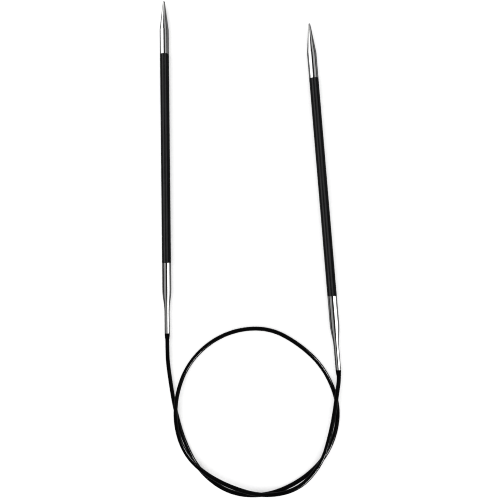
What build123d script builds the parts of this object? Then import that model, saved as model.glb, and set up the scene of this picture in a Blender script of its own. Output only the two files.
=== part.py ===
"""Circular knitting needle: two carbon-fibre needles joined by one thin nylon cord.

Each needle is a glued stack of turned metal and tube: tip, shaft and ferrule, with a film of
epoxy round each spigot. The cord's end is glued into the ferrule and leaves through a tapered
collar. The needles lie flat on the table and the cord lies in a loop of a turn and a half
below them, passing over itself.

Frame: +Y towards the tips, +Z up from the table, origin on the table at the middle of the
two needles. All sizes are in millimetres.
"""

from math import cos, radians, sin, tan
import os

from build123d import *

os.makedirs("parts", exist_ok=True)

# Needle: one outer diameter from the ferrule's shoulder to the tip's shoulder
needle_d = 3.5
needle_r = needle_d / 2
tip_length = 20.85
shaft_length = 81.65
ferrule_length = 27.5

# Tip: a straight cone with a small round point, then a full-width stretch
point_r = 0.4
cone_length = 11.2

# Ferrule: a full-width stretch, an S-shaped taper and a slim neck
ferrule_full_length = 10.0
neck_length = 8.0
neck_r = 1.0

# Joints inside the shaft: spigots on the tip and the ferrule, glued into the tube
bore_r = 1.0
glue_film = 0.1
spigot_r = bore_r - glue_film
spigot_length = 12.0
spigot_chamfer = 0.3

# Cord
cord_r = 0.775
cord_glue_film = 0.05
socket_depth = 9.0
collar_length = 2.4
collar_nose_r = 0.82

# Each needle swings about a pivot in the middle of the stretch where the cord bends.
# The free cord has a round end centred there, clear of the straight end that the needle keeps.
nose_to_pivot = 4.0
swing_gap = 0.05
pivot_offset = collar_length + nose_to_pivot

# Where each ferrule ends, and how far its tip leans to the left of +Y
exits = {
    "left": (-32.1, -57.7, 0.6),
    "right": (34.1, -69.7, 4.76),
}

# Heights of the cord's centre: on the table, and where it lies over itself
low = 0.85
over = 2.65

# The free cord's route between the two pivots, which are added as its first and last points.
# It goes down the left side, round the bottom, up the right side and over the top,
# then a second time down, round and up to the right needle, lying over the first pass.
route_middle = [
    (-31.9, -69.0, 1.65),
    (-31.0, -77.0, 1.0),
    (-29.3, -87.2, low),
    (-25.5, -99.5, low),
    (-19.4, -111.4, low),
    (-7.8, -119.1, low),
    (6.0, -119.3, low),
    (18.5, -113.6, low),
    (28.2, -104.7, low),
    (33.5, -93.7, low),
    (33.7, -81.8, low),
    (28.7, -69.4, low),
    (19.7, -60.8, low),
    (8.3, -54.9, low),
    (-4.7, -55.7, low),
    (-16.2, -61.4, low),
    (-24.8, -71.0, low),
    (-28.8, -82.7, over),
    (-28.5, -94.0, over),
    (-25.1, -104.3, over),
    (-17.7, -111.3, over),
    (-6.7, -116.0, over),
    (6.0, -118.7, over),
    (19.3, -115.0, over),
    (27.7, -104.4, over),
    (30.9, -94.2, over),
    (33.4, -85.4, over),
    (34.3, -80.2, 2.1),
]


def axis_plane(side):
    """Plane through a needle's axis: X runs from the cord to the tip, Z is up."""
    x, y, lean = exits[side]
    along = (-sin(radians(lean)), cos(radians(lean)), 0)
    return Plane(origin=(x, y, needle_r), x_dir=along, z_dir=(0, 0, 1))


def cross_plane(side, along):
    """Plane square to a needle's axis, at a distance from the ferrule's end towards the tip."""
    axis = axis_plane(side)
    return Plane(origin=axis.origin, z_dir=axis.x_dir).offset(along)


def finish(piece, name):
    """Names a piece and writes it."""
    piece.part.label = name
    export_step(piece.part, f"parts/{name}.step")


def turn(plane):
    """Turns the sketched half outline about the needle's axis."""
    revolve(axis=Axis(plane.origin, plane.x_dir))


def make_tip(side):
    """Solid metal tip, with the spigot that is glued into the shaft."""
    plane = axis_plane(side)
    base = ferrule_length + shaft_length
    end = base + tip_length
    shoulder = end - cone_length
    with BuildPart() as tip:
        with BuildSketch(plane):
            with BuildLine():
                spigot = Polyline(
                    (shoulder, needle_r),
                    (base, needle_r),
                    (base, spigot_r),
                    (base - spigot_length + spigot_chamfer, spigot_r),
                    (base - spigot_length, spigot_r - spigot_chamfer),
                    (base - spigot_length, 0),
                    (end, 0),
                )
                nose = RadiusArc(spigot @ 1, (end - point_r, point_r), -point_r)
                Line(nose @ 1, spigot @ 0)
            make_face()
        turn(plane)
    finish(tip, f"{side}_tip")


def make_ferrule(side):
    """Metal end that tapers down to the cord, with a socket in its neck for the cord's end."""
    plane = axis_plane(side)
    shoulder = ferrule_length - ferrule_full_length
    taper_middle = ((neck_length + shoulder) / 2, (neck_r + needle_r) / 2)
    with BuildPart() as ferrule:
        with BuildSketch(plane):
            with BuildLine():
                neck = Line((0, neck_r), (neck_length, neck_r))
                hollow = TangentArc(neck @ 1, taper_middle, tangent=neck % 1)
                crown = TangentArc(hollow @ 1, (shoulder, needle_r), tangent=hollow % 1)
                Polyline(
                    crown @ 1,
                    (ferrule_length, needle_r),
                    (ferrule_length, spigot_r),
                    (ferrule_length + spigot_length - spigot_chamfer, spigot_r),
                    (ferrule_length + spigot_length, spigot_r - spigot_chamfer),
                    (ferrule_length + spigot_length, 0),
                    (socket_depth, 0),
                    (socket_depth, cord_r + cord_glue_film),
                    (0, cord_r + cord_glue_film),
                    neck @ 0,
                )
            make_face()
        turn(plane)
    finish(ferrule, f"{side}_ferrule")


def make_shaft(side):
    """Carbon-fibre tube between the ferrule and the tip."""
    with BuildPart() as shaft:
        with BuildSketch(cross_plane(side, ferrule_length)):
            Circle(needle_r)
            Circle(bore_r, mode=Mode.SUBTRACT)
        extrude(amount=shaft_length)
    finish(shaft, f"{side}_shaft")


def make_spigot_glue(side, name, start):
    """Film of epoxy round a spigot, inside the shaft."""
    with BuildPart() as glue:
        with BuildSketch(cross_plane(side, start)):
            Circle(bore_r)
            Circle(spigot_r, mode=Mode.SUBTRACT)
        extrude(amount=spigot_length - spigot_chamfer)
    finish(glue, f"{side}_{name}")


def make_cord_glue(side):
    """Film of glue round the cord's end, inside the ferrule's socket."""
    with BuildPart() as glue:
        with BuildSketch(cross_plane(side, 0)):
            Circle(cord_r + cord_glue_film)
            Circle(cord_r, mode=Mode.SUBTRACT)
        extrude(amount=socket_depth)
    finish(glue, f"{side}_cord_glue")


def make_cord_end(side):
    """The cord's end, from the bottom of the socket to just short of the pivot."""
    start = cord_r + swing_gap - pivot_offset
    with BuildPart() as cord_end:
        with BuildSketch(cross_plane(side, start)):
            Circle(cord_r)
        extrude(amount=socket_depth - start)
    finish(cord_end, f"{side}_cord_end")


def make_collar(side):
    """Tapered nylon collar that closes the ferrule's mouth and eases the cord's bend."""
    plane = axis_plane(side)
    with BuildPart() as collar:
        with BuildSketch(plane):
            with BuildLine():
                Polyline(
                    (0, cord_r),
                    (0, neck_r),
                    (-collar_length / 5, neck_r),
                    (-collar_length, collar_nose_r),
                    (-collar_length, cord_r),
                    close=True,
                )
            make_face()
        turn(plane)
    finish(collar, f"{side}_cord_collar")


def bend_radii(points):
    """The largest arc at each corner that leaves a short straight in the shorter run."""
    radii = []
    for before, corner, after in zip(points, points[1:], points[2:]):
        run_in, run_out = corner - before, after - corner
        half_turn = radians(run_in.get_angle(run_out)) / 2
        radii.append(0.45 * min(run_in.length, run_out.length) / tan(half_turn))
    return radii


def make_cord():
    """The free cord: straight runs joined by arcs, with a round end at each pivot."""
    left, right = cross_plane("left", -pivot_offset), cross_plane("right", -pivot_offset)
    route = [left.origin] + [Vector(point) for point in route_middle] + [right.origin]
    radii = bend_radii(route)
    with BuildPart() as cord:
        with BuildLine() as centreline:
            FilletPolyline(*route, radius=radii)
        path = centreline.wire()
        with BuildSketch(Plane(origin=path @ 0, z_dir=path % 0)):
            Circle(cord_r)
        sweep(path=path)
        for end, outward in ((path @ 0, -(path % 0)), (path @ 1, path % 1)):
            with BuildSketch(Plane(origin=end, x_dir=outward, z_dir=Vector(0, 0, 1).cross(outward))):
                with BuildLine():
                    Line((0, cord_r), (0, 0))
                    Line((0, 0), (cord_r, 0))
                    RadiusArc((0, cord_r), (cord_r, 0), cord_r)
                make_face()
            revolve(axis=Axis(end, outward))
    finish(cord, "cord")
    print("bend radii:", ", ".join(f"{radius:.0f}" for radius in radii))
    print(f"free cord: {path.length:.1f} mm between the pivots")
    tip_to_tip = path.length + 2 * (pivot_offset + tip_length + shaft_length + ferrule_length)
    print(f"needle from tip to tip: {tip_to_tip:.1f} mm")


for side in exits:
    make_tip(side)
    make_spigot_glue(side, "tip_glue", ferrule_length + shaft_length - spigot_length + spigot_chamfer)
    make_shaft(side)
    make_spigot_glue(side, "ferrule_glue", ferrule_length)
    make_ferrule(side)
    make_cord_glue(side)
    make_cord_end(side)
    make_collar(side)
make_cord()
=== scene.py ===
"""Circular knitting needle: its materials and cord, and the studio and camera around it.

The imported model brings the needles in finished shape, so they get new materials here. The cord
is built here, on one smooth line from the socket in the left needle to the one in the right.
Lengths are in metres, with +Y towards the tips and +Z up from the floor.
"""

from math import cos, pi, radians, sin, tan

import bpy
from mathutils import Matrix, Vector


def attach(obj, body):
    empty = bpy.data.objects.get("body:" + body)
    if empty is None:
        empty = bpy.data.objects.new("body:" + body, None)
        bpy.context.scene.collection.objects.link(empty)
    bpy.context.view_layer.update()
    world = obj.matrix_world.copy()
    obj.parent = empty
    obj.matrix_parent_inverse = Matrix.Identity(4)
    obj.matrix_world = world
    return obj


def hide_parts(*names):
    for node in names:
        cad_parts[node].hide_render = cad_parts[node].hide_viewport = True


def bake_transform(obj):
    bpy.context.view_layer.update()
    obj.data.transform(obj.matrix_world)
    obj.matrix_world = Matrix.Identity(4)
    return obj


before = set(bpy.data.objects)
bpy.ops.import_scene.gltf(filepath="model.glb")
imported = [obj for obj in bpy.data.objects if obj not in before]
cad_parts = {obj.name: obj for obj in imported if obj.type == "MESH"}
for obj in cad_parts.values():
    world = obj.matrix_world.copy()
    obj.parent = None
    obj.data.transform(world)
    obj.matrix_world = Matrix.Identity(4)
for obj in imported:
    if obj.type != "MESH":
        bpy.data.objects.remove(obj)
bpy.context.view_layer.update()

# Each needle's axis: where the ferrule ends, and how far the tip leans to the left of +Y
NEEDLE_RADIUS = 0.00175
EXITS = {
    "left": (Vector((-0.0321, -0.0577, NEEDLE_RADIUS)), radians(0.6)),
    "right": (Vector((0.0341, -0.0697, NEEDLE_RADIUS)), radians(4.76)),
}
SOCKET_DEPTH = 0.009
# How far past each ferrule the cord's line first turns off the needle's axis
BENDS = {"left": 0.0064, "right": 0.0038}

# Cord: its radius, and how many sides and steps its mesh has
CORD_RADIUS = 0.000775
CORD_SIDES = 24
STEPS_PER_POINT = 14
# Heights of the cord's centre: on the floor, and where it lies over itself
LOW = 0.00085
OVER = 0.00265
# The cord's route between its bends at the left needle and at the right. It goes down the left
# side, round the bottom, up the right side and over the top, then a second time down, round
# and up to the right needle, lying over the first pass.
ROUTE_MIDDLE = [
    (-0.0319, -0.0690, 0.00165),
    (-0.0310, -0.0770, 0.00100),
    (-0.0293, -0.0872, LOW),
    (-0.0258, -0.0995, LOW),
    (-0.0194, -0.1114, LOW),
    (-0.0078, -0.1191, LOW),
    (0.0060, -0.1193, LOW),
    (0.0185, -0.1136, LOW),
    (0.0282, -0.1047, LOW),
    (0.0334, -0.0937, LOW),
    (0.0342, -0.0818, LOW),
    (0.0289, -0.0694, LOW),
    (0.0197, -0.0608, LOW),
    (0.0083, -0.0549, LOW),
    (-0.0047, -0.0557, LOW),
    (-0.0162, -0.0614, LOW),
    (-0.0248, -0.0710, LOW),
    (-0.0284, -0.0827, OVER),
    (-0.0285, -0.0940, OVER),
    (-0.0248, -0.1042, OVER),
    (-0.0175, -0.1110, OVER),
    (-0.0067, -0.1160, OVER),
    (0.0060, -0.1187, OVER),
    (0.0195, -0.1152, OVER),
    (0.0281, -0.1047, OVER),
    (0.0311, -0.0942, OVER),
    (0.0328, -0.0854, OVER),
    (0.0335, -0.0795, 0.00260),
]
# The cord is drawn as three pieces: a loop, and an end at each needle. The loop meets
# each end where the cord passes over itself, at the end's first point below this Y.
MEETING_Y = {"left": -0.0853, "right": -0.1050}

# Camera: what it looks at, how far away it stands, and how far it stands to the right
LOOK_AT = Vector((0.000478, -0.025173, 0))
CAMERA_DISTANCE = 0.220
CAMERA_SWING = radians(9.658)
LENS = 41.14
SENSOR_WIDTH = 36
CLIP_START = 0.01
PIXEL_FILTER_WIDTH = 1.0

# Floor: a square of paper, in two whites. Reflections see it in a darker grey, which is painted
# shade that the floor itself doesn't have.
FLOOR_HALF_WIDTH = 3.0
FLOOR_WHITES = (0.86,) * 3, (0.88,) * 3
FLOOR_SHADE_IN_REFLECTIONS = (0.18,) * 3

# World: a dim grey that lights the scene, and the white that the camera sees past the floor
WORLD_DIM = (0.03, 0.03, 0.03, 1)
WORLD_WHITE = (1, 1, 1, 1)
WORLD_WHITE_STRENGTH = 1.2

# Light cards: name, parts that see it, angle from straight up (left is negative) and arc it
# covers in degrees, reach along Y, turn in its own plane in degrees, and radiance
CARD_DISTANCE = 0.25
METAL = ("tip", "ferrule")
TUBE = ("shaft",)
CARDS = [
    ("card_left_bright", METAL, -48, 61, 0.02, 0.32, 40, 2.1),
    ("card_left_soft", METAL, -34, 52, -0.24, 0.0, 0, 0.45),
    ("card_right_bright", METAL, 60, 60, -0.24, 0.0, 0, 2.6),
    ("card_right_soft", METAL, 46, 40, 0.04, 0.32, 22, 0.65),
    ("card_left_tube", TUBE, -39, 34, -0.14, 0.20, 0, 2.7),
    ("card_right_tube", TUBE, 31, 34, -0.14, 0.20, 0, 2.2),
]
# Small bright lamps for the cord alone, which leave its short highlights: name, place and
# radiance. They point at the middle of the loop.
LAMP_WIDTH = 0.12
LAMP_HEIGHT = 0.04
LAMPS = [
    ("lamp_far_right", (0.236, 0.031, 0.122), 50),
    ("lamp_near_right", (0.140, -0.281, 0.141), 50),
]
CORD_MIDDLE = Vector((0, -0.09, 0))

# Even light, from suns as wide as most of the sky: name, strength, and whether it casts shadows
FILL_ANGLE = radians(140)
FILLS = [("fill_soft", 0.8, True), ("fill_even", 3.3, False)]


def along(side, distance):
    """Point on a needle's axis, at a distance from the ferrule's end towards the tip."""
    exit, lean = EXITS[side]
    return exit + distance * Vector((-sin(lean), cos(lean), 0))


# ---------------------------------------------------------------- materials

# Where a colour mix keeps its two colours and its result among its sockets
MIX_FIRST, MIX_SECOND, MIX_RESULT = 6, 7, 2

# Noise stays within this range for the most part, which is spread over the values it drives
NOISE_LOW, NOISE_HIGH = 0.3, 0.7


class Material:
    """A node material under construction, around one Principled shader."""

    def __init__(self, name):
        self.made = bpy.data.materials.new(name)
        self.made.use_nodes = True
        self.tree = self.made.node_tree
        self.shader = self.tree.nodes["Principled BSDF"]
        self.place = self.add("ShaderNodeTexCoord").outputs["Object"]

    def add(self, kind, settings=(), **inputs):
        """Adds a node. An input is a socket to link or a value, with _ for a space in its name."""
        node = self.tree.nodes.new(kind)
        for key, value in dict(settings).items():
            setattr(node, key, value)
        for key, value in inputs.items():
            self.put(node, key.replace("_", " "), value)
        return node

    def put(self, node, key, value):
        """Links a socket to a node's input, or sets the input to a value."""
        if isinstance(value, bpy.types.NodeSocket):
            self.tree.links.new(value, node.inputs[key])
        else:
            node.inputs[key].default_value = value

    def set(self, **inputs):
        """Sets or links inputs of the shader."""
        for key, value in inputs.items():
            self.put(self.shader, key.replace("_", " "), value)

    def turned(self, side):
        """From here on, positions are along a needle: Y runs up its axis, X across it."""
        exit, lean = EXITS[side]
        mapping = self.add(
            "ShaderNodeMapping",
            {"vector_type": "TEXTURE"},
            Vector=self.place,
            Location=exit,
            Rotation=(0, 0, lean),
        )
        self.place = mapping.outputs["Vector"]

    def noise(self, size, stretch=(1, 1, 1), detail=3.0, roughness=0.55):
        """Noise whose features are about size metres, times stretch along each axis."""
        scale = [1 / (size * part) for part in stretch]
        scaled = self.add("ShaderNodeMapping", Vector=self.place, Scale=scale)
        noise = self.add(
            "ShaderNodeTexNoise",
            Vector=scaled.outputs["Vector"],
            Scale=1.0,
            Detail=detail,
            Roughness=roughness,
        )
        return noise.outputs["Fac"]

    def spread(self, noise, low, high):
        """Spreads noise over low to high, which may run down."""
        ranged = self.add(
            "ShaderNodeMapRange",
            Value=noise,
            From_Min=NOISE_LOW,
            From_Max=NOISE_HIGH,
            To_Min=low,
            To_Max=high,
        )
        return ranged.outputs["Result"]

    def mix_colours(self, factor, first, second):
        """A colour from first to second, each a socket or a colour, by factor from 0 to 1."""
        mix = self.add("ShaderNodeMix", {"data_type": "RGBA"}, Factor=factor)
        for key, colour in ((MIX_FIRST, first), (MIX_SECOND, second)):
            is_socket = isinstance(colour, bpy.types.NodeSocket)
            self.put(mix, key, colour if is_socket else (*colour, 1))
        return mix.outputs[MIX_RESULT]

    def vary_colour(self, noise, first, second):
        """A colour that noise varies between first and second."""
        return self.mix_colours(self.spread(noise, low=0, high=1), first, second)

    def bump(self, height, depth, under=None):
        """Raises the surface by height times depth metres, on top of another bump."""
        bump = self.add("ShaderNodeBump", Height=height, Distance=depth, Strength=1.0)
        if under:
            self.tree.links.new(under, bump.inputs["Normal"])
        return bump.outputs["Normal"]


def plated_metal(side):
    """Turned and nickel-plated metal: fine rings from turning, slight waves, finger marks."""
    metal = Material(f"nickel_plate_{side}")
    metal.turned(side)
    rings = metal.noise(size=0.0003, stretch=(30, 1, 30), detail=2)
    waves = metal.noise(size=0.004, stretch=(1, 2, 1), detail=1)
    marks = metal.noise(size=0.0025, stretch=(1, 1.6, 1), detail=4)
    specks = metal.noise(size=0.00025, detail=2)
    relief = metal.bump(rings, depth=0.0000010)
    relief = metal.bump(waves, depth=0.00001, under=relief)
    relief = metal.bump(specks, depth=0.0000008, under=relief)
    metal.set(
        Base_Color=metal.vary_colour(
            marks, first=(0.50, 0.498, 0.495), second=(0.58, 0.578, 0.575)
        ),
        Metallic=1.0,
        Roughness=metal.spread(marks, low=0.11, high=0.05),
        Specular_Tint=(0.45, 0.45, 0.46, 1),
        Normal=relief,
    )
    return metal.made


def carbon_fibre(side):
    """Ground carbon-fibre tube: satin black, with its fibres showing as fine streaks."""
    carbon = Material(f"carbon_fibre_{side}")
    carbon.turned(side)
    fibres = carbon.noise(size=0.00022, stretch=(1, 40, 1), detail=4, roughness=0.65)
    strands = carbon.noise(size=0.0008, stretch=(1, 12, 1), detail=2)
    grinding = carbon.noise(size=0.00018, stretch=(12, 1, 12), detail=2)
    patches = carbon.noise(size=0.005, stretch=(1, 3, 1), detail=2)
    relief = carbon.bump(fibres, depth=0.000006)
    relief = carbon.bump(grinding, depth=0.0000015, under=relief)
    carbon.set(
        Base_Color=carbon.vary_colour(
            strands, first=(0.002, 0.002, 0.0022), second=(0.006, 0.006, 0.0065)
        ),
        Roughness=carbon.spread(patches, low=0.22, high=0.30),
        Specular_IOR_Level=0.16,
        Normal=relief,
    )
    return carbon.made


def cord_nylon():
    """Drawn black nylon: glossy, with a slightly uneven skin that breaks up its highlights."""
    nylon = Material("black_nylon_cord")
    skin = nylon.noise(size=0.0012, detail=3)
    grain = nylon.noise(size=0.0003, detail=2)
    rubbed = nylon.noise(size=0.006, detail=3)
    relief = nylon.bump(skin, depth=0.00003)
    relief = nylon.bump(grain, depth=0.000004, under=relief)
    nylon.set(
        Base_Color=nylon.vary_colour(
            rubbed, first=(0.0006, 0.0006, 0.0007), second=(0.0014, 0.0014, 0.0015)
        ),
        Roughness=nylon.spread(rubbed, low=0.12, high=0.22),
        Specular_IOR_Level=0.35,
        Normal=relief,
    )
    return nylon.made


def collar_nylon():
    """Moulded black nylon: duller than the cord, with a fine moulded grain."""
    nylon = Material("black_nylon_collar")
    grain = nylon.noise(size=0.0002, detail=3)
    patches = nylon.noise(size=0.0015, detail=2)
    nylon.set(
        Base_Color=nylon.vary_colour(
            patches, first=(0.0008, 0.0008, 0.0008), second=(0.0020, 0.0020, 0.0020)
        ),
        Roughness=nylon.spread(grain, low=0.42, high=0.56),
        Specular_IOR_Level=0.05,
        Normal=nylon.bump(grain, depth=0.000008),
    )
    return nylon.made


def epoxy():
    """Cured epoxy in the joints: amber and glossy, a little cloudy."""
    resin = Material("cured_epoxy")
    cloud = resin.noise(size=0.001, detail=3)
    resin.set(
        Base_Color=resin.vary_colour(
            cloud, first=(0.34, 0.20, 0.07), second=(0.50, 0.34, 0.15)
        ),
        Roughness=resin.spread(cloud, low=0.15, high=0.3),
        Transmission_Weight=0.4,
    )
    return resin.made


def paint(node, material):
    """Gives a CAD node its material in place of the plain one it came with."""
    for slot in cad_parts[node].material_slots:
        slot.material = material


def paint_needles():
    """Gives the CAD nodes their materials, apart from the cord's, which are drawn anew."""
    collar, resin = collar_nylon(), epoxy()
    for side in EXITS:
        metal, carbon = plated_metal(side), carbon_fibre(side)
        paint(f"{side}_tip", metal)
        paint(f"{side}_ferrule", metal)
        paint(f"{side}_shaft", carbon)
        paint(f"{side}_cord_collar", collar)
        for film in ("tip_glue", "ferrule_glue", "cord_glue"):
            paint(f"{side}_{film}", resin)


# ---------------------------------------------------------------- cord


def cord_line():
    """Points along the cord's line, from socket to socket, read from its smooth spline.

    The spline is a row of parabolas, so it rounds off the corners of the route.
    """
    ends = [[along(side, d) for d in (SOCKET_DEPTH, 0, -BENDS[side])] for side in EXITS]
    route = ends[0] + [Vector(point) for point in ROUTE_MIDDLE] + ends[1][::-1]
    curve = bpy.data.curves.new("cord_line", "CURVE")
    curve.dimensions = "3D"
    spline = curve.splines.new("NURBS")
    spline.points.add(len(route) - 1)
    for point, place in zip(spline.points, route):
        point.co = (*place, 1)
    spline.order_u = 3
    spline.use_endpoint_u = True
    spline.resolution_u = STEPS_PER_POINT
    holder = bpy.data.objects.new("cord_line", curve)
    bpy.context.scene.collection.objects.link(holder)
    bpy.context.view_layer.update()
    mesh = bpy.data.meshes.new_from_object(
        holder.evaluated_get(bpy.context.evaluated_depsgraph_get())
    )
    line = [vertex.co.copy() for vertex in mesh.vertices]
    bpy.data.meshes.remove(mesh)
    bpy.data.objects.remove(holder)
    return line


def cord_rings(line):
    """A ring of points square to the line at each of its points, turning with it without twist."""
    rings = []
    across = Vector((0, 0, 1))
    for before, centre, after in zip([line[0]] + line, line, line[1:] + [line[-1]]):
        tangent = (after - before).normalized()
        across = (across - across.dot(tangent) * tangent).normalized()
        other = tangent.cross(across)
        turns = [2 * pi * step / CORD_SIDES for step in range(CORD_SIDES)]
        rings.append(
            [centre + CORD_RADIUS * (cos(t) * across + sin(t) * other) for t in turns]
        )
    return rings


def tube(name, rings, material):
    """Closed tube through the rings, with flat ends."""
    count = CORD_SIDES
    last = (len(rings) - 1) * count
    faces = []
    for start in range(0, last, count):
        for side in range(count):
            here, beside = start + side, start + (side + 1) % count
            faces.append((here, beside, beside + count, here + count))
    faces += [tuple(range(count))[::-1], tuple(range(last, last + count))]
    mesh = bpy.data.meshes.new(name)
    mesh.from_pydata([point for ring in rings for point in ring], [], faces)
    for face in mesh.polygons:
        face.use_smooth = len(face.vertices) < count
    mesh.materials.append(material)
    piece = bpy.data.objects.new(name, mesh)
    bpy.context.scene.collection.objects.link(piece)
    return piece


def cord_piece(name, rings, stands_for, material):
    """A piece of the cord: a tube through the rings, which hides the CAD node it stands for."""
    piece = tube(name, rings, material)
    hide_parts(stands_for)
    return piece


def add_cord():
    """The cord: its loop, attached to the cord's body, and its two ends."""
    line = cord_line()
    rings = cord_rings(line)
    last = len(line) - 1
    left = next(i for i in range(last) if line[i].y < MEETING_Y["left"])
    right = next(i for i in range(last, 0, -1) if line[i].y < MEETING_Y["right"])
    nylon = cord_nylon()
    loop = cord_piece(
        "cord_loop", rings[left : right + 1], "cord", nylon
    )
    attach(loop, "cord")
    pieces = [loop]
    ends = {
        "left": (line[: left + 1], rings[: left + 1]),
        "right": (line[right:][::-1], rings[right:]),
    }
    for side, (path, path_rings) in ends.items():
        end = cord_piece(f"cord_{side}", path_rings, f"{side}_cord_end", nylon)
        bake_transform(end)
        pieces.append(end)
    return pieces


# ---------------------------------------------------------------- studio


def add_floor():
    """Wide pale floor with a faint mottle, and painted shade: reflections see it in a darker grey.
    """
    half = FLOOR_HALF_WIDTH
    mesh = bpy.data.meshes.new("floor")
    mesh.from_pydata(
        [(-half, -half, 0), (half, -half, 0), (half, half, 0), (-half, half, 0)],
        [],
        [(0, 1, 2, 3)],
    )
    paper = Material("white_paper")
    mottle = paper.noise(size=0.004, detail=4)
    white = paper.vary_colour(mottle, *FLOOR_WHITES)
    # Painted shade: glossy rays see the floor in a darker grey than the camera does
    reflected = paper.add("ShaderNodeLightPath").outputs["Is Glossy Ray"]
    paper.set(
        Base_Color=paper.mix_colours(reflected, white, FLOOR_SHADE_IN_REFLECTIONS),
        Roughness=0.9,
        Specular_IOR_Level=0.1,
    )
    mesh.materials.append(paper.made)
    floor = bpy.data.objects.new("floor", mesh)
    bpy.context.scene.collection.objects.link(floor)


def add_light(name, kind, **settings):
    """A light that the camera doesn't see."""
    light = bpy.data.lights.new(name, kind)
    for key, value in settings.items():
        setattr(light, key, value)
    holder = bpy.data.objects.new(name, light)
    bpy.context.scene.collection.objects.link(holder)
    holder.visible_camera = False
    return holder


def receivers(name, pieces):
    """Pieces that a light reaches, when it is for them alone."""
    group = bpy.data.collections.new(name)
    for piece in pieces:
        group.objects.link(piece)
    return group


def add_cards():
    """White cards over the needles, which only the needles' gloss shows."""
    for name, parts, angle, arc, y_from, y_to, twist, radiance in CARDS:
        width, length = 2 * CARD_DISTANCE * tan(radians(arc / 2)), y_to - y_from
        card = add_light(
            name,
            "AREA",
            shape="RECTANGLE",
            size=width,
            size_y=length,
            energy=radiance * pi * width * length,
        )
        turn = Matrix.Rotation(radians(angle), 4, "Y")
        spin = Matrix.Rotation(radians(twist), 4, "Z")
        place = turn @ Vector((0, 0, CARD_DISTANCE)) + Vector((0, (y_from + y_to) / 2, 0))
        card.matrix_world = Matrix.Translation(place) @ turn @ spin
        card.visible_diffuse = False
        seen_by = [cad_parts[f"{side}_{part}"] for side in EXITS for part in parts]
        card.light_linking.receiver_collection = receivers(name, seen_by)


def add_lamps(cord_pieces):
    """Small lamps to the right, which only the cord's gloss shows."""
    cord = receivers("cord_pieces", cord_pieces)
    for name, place, radiance in LAMPS:
        lamp = add_light(
            name,
            "AREA",
            shape="RECTANGLE",
            size=LAMP_WIDTH,
            size_y=LAMP_HEIGHT,
            energy=radiance * pi * LAMP_WIDTH * LAMP_HEIGHT,
        )
        lamp.location = place
        lamp.rotation_euler = (CORD_MIDDLE - Vector(place)).to_track_quat("-Z", "Y").to_euler()
        lamp.visible_diffuse = False
        lamp.light_linking.receiver_collection = cord


def add_fills():
    """Even light from above for the floor, which leaves no mark on the gloss.

    Most of it casts no shadow, so the needles and the cord stand on only a faint one.
    """
    for name, strength, shadows in FILLS:
        fill = add_light(name, "SUN", energy=strength, angle=FILL_ANGLE, use_shadow=shadows)
        fill.visible_glossy = False


def add_world():
    """White behind the floor's edge, and dim everywhere else."""
    world = bpy.data.worlds.new("studio")
    world.use_nodes = True
    tree = world.node_tree
    dim = tree.nodes["Background"]
    dim.inputs["Color"].default_value = WORLD_DIM
    white = tree.nodes.new("ShaderNodeBackground")
    white.inputs["Color"].default_value = WORLD_WHITE
    white.inputs["Strength"].default_value = WORLD_WHITE_STRENGTH
    ray = tree.nodes.new("ShaderNodeLightPath")
    mix = tree.nodes.new("ShaderNodeMixShader")
    tree.links.new(ray.outputs["Is Camera Ray"], mix.inputs["Fac"])
    tree.links.new(dim.outputs["Background"], mix.inputs[1])
    tree.links.new(white.outputs["Background"], mix.inputs[2])
    tree.links.new(mix.outputs["Shader"], tree.nodes["World Output"].inputs["Surface"])
    bpy.context.scene.world = world


def add_camera():
    """The camera, close over the object and a little to its right."""
    camera = bpy.data.objects.new("camera", bpy.data.cameras.new("camera"))
    bpy.context.scene.collection.objects.link(camera)
    camera.data.sensor_width = SENSOR_WIDTH
    camera.data.lens = LENS
    camera.data.clip_start = CLIP_START
    away = Vector((sin(CAMERA_SWING), 0, cos(CAMERA_SWING)))
    camera.location = LOOK_AT + CAMERA_DISTANCE * away
    camera.rotation_euler = (0, CAMERA_SWING, 0)
    bpy.context.scene.camera = camera


paint_needles()
cord_pieces = add_cord()
add_floor()
add_cards()
add_lamps(cord_pieces)
add_fills()
add_world()
add_camera()
bpy.context.scene.view_settings.view_transform = "Standard"
bpy.context.scene.cycles.filter_width = PIXEL_FILTER_WIDTH
